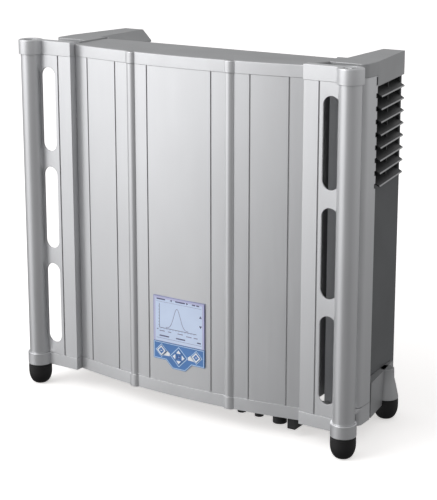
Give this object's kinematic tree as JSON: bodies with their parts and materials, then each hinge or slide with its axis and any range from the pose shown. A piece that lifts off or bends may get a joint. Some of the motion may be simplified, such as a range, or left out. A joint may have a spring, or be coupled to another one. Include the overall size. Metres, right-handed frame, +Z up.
{
  "type": "string inverter",
  "caption": "Solar string inverter with a bowed ribbed aluminium front, slotted handle columns, side louvres with fans, a screen with keys, and rubber feet.",
  "frame": {"origin": "on the floor, under the middle of the overall box", "axes": "+X to the right as seen from the front, +Y from the front to the wall, +Z up"},
  "size_m": [0.609, 0.24, 0.574],
  "materials": {
    "silver": "satin",
    "dark_silver": "satin",
    "duct_grey": "matte",
    "black_plastic": "matte",
    "rubber": "matte",
    "steel": "brushed",
    "raw_aluminium": "raw",
    "clear_window": "gloss",
    "screen": "gloss",
    "blue_film": "satin",
    "key_blue": "satin",
    "circuit_board": "satin",
    "copper": "enamelled wire"
  },
  "bodies": {
    "cabinet": {"front_panel_right": "silver", "front_panel_left": "silver", "panel_rib_right": "silver", "panel_rib_left": "silver", "handle_column_right": "silver", "handle_column_left": "silver", "top_corner_cap_right": "silver", "top_corner_cap_left": "silver", "column_screw_right": "steel", "column_screw_left": "steel", "base_casting_right": "silver", "base_casting_left": "silver", "foot_front_right": "rubber", "foot_front_left": "rubber", "foot_rear_right": "rubber", "foot_rear_left": "rubber", "side_profile_right": "silver", "side_profile_left": "silver", "side_duct_right": "duct_grey", "side_duct_left": "duct_grey", "louvre_right": "black_plastic", "louvre_left": "black_plastic", "rear_hood_right": "dark_silver", "rear_hood_left": "dark_silver", "rear_foot_bracket_right": "dark_silver", "rear_foot_bracket_left": "dark_silver", "fan_frame_right": "black_plastic", "fan_frame_left": "black_plastic", "front_panel_center": "silver", "top_trim": "silver", "bottom_trim": "silver", "top_deck": "dark_silver", "electronics_tub": "duct_grey", "heat_sink": "raw_aluminium", "rear_cover": "duct_grey", "hanging_rail": "steel", "display_window": "clear_window", "lcd_module": "screen", "keypad_film": "blue_film", "mains_gland": "black_plastic", "string_connector_plus": "black_plastic", "string_connector_minus": "black_plastic", "isolator_body": "black_plastic", "power_board": "circuit_board", "transistor_module": "black_plastic", "link_capacitor_1": "steel", "link_capacitor_2": "steel", "boost_choke": "copper", "control_board": "circuit_board", "mains_terminals": "black_plastic", "panel_terminals": "black_plastic"},
    "fan_rotor_left": {"fan_rotor_left": "black_plastic"},
    "fan_rotor_right": {"fan_rotor_right": "black_plastic"},
    "isolator_knob": {"isolator_knob": "black_plastic"},
    "key_down": {"key_down": "key_blue"},
    "key_enter": {"key_enter": "key_blue"},
    "key_left": {"key_left": "key_blue"},
    "key_menu": {"key_menu": "key_blue"},
    "key_right": {"key_right": "key_blue"},
    "key_up": {"key_up": "key_blue"}
  },
  "joints": [
    {"name": "key_up_press", "type": "slide", "parent": "cabinet", "child": "key_up", "axis": [0, 1, 0], "range_m": [0, 0.0006], "stiffness_N_per_m": 3000},
    {"name": "key_left_press", "type": "slide", "parent": "cabinet", "child": "key_left", "axis": [0, 1, 0], "range_m": [0, 0.0006], "stiffness_N_per_m": 3000},
    {"name": "key_down_press", "type": "slide", "parent": "cabinet", "child": "key_down", "axis": [0, 1, 0], "range_m": [0, 0.0006], "stiffness_N_per_m": 3000},
    {"name": "key_right_press", "type": "slide", "parent": "cabinet", "child": "key_right", "axis": [0, 1, 0], "range_m": [0, 0.0006], "stiffness_N_per_m": 3000},
    {"name": "key_menu_press", "type": "slide", "parent": "cabinet", "child": "key_menu", "axis": [0, 1, 0], "range_m": [0, 0.0006], "stiffness_N_per_m": 3000},
    {"name": "key_enter_press", "type": "slide", "parent": "cabinet", "child": "key_enter", "axis": [0, 1, 0], "range_m": [0, 0.0006], "stiffness_N_per_m": 3000},
    {"name": "fan_spin_right", "type": "hinge", "parent": "cabinet", "child": "fan_rotor_right", "pos_m": [0.226, 0.05625, 0.45835], "axis": [1, 0, 0], "continuous": true},
    {"name": "fan_spin_left", "type": "hinge", "parent": "cabinet", "child": "fan_rotor_left", "pos_m": [-0.226, 0.05625, 0.45835], "axis": [1, 0, 0], "continuous": true},
    {"name": "isolator_turn", "type": "hinge", "parent": "cabinet", "child": "isolator_knob", "pos_m": [0.185, -0.0625, 0.045], "axis": [0, 0, -1], "range_deg": [0, 90]}
  ]
}
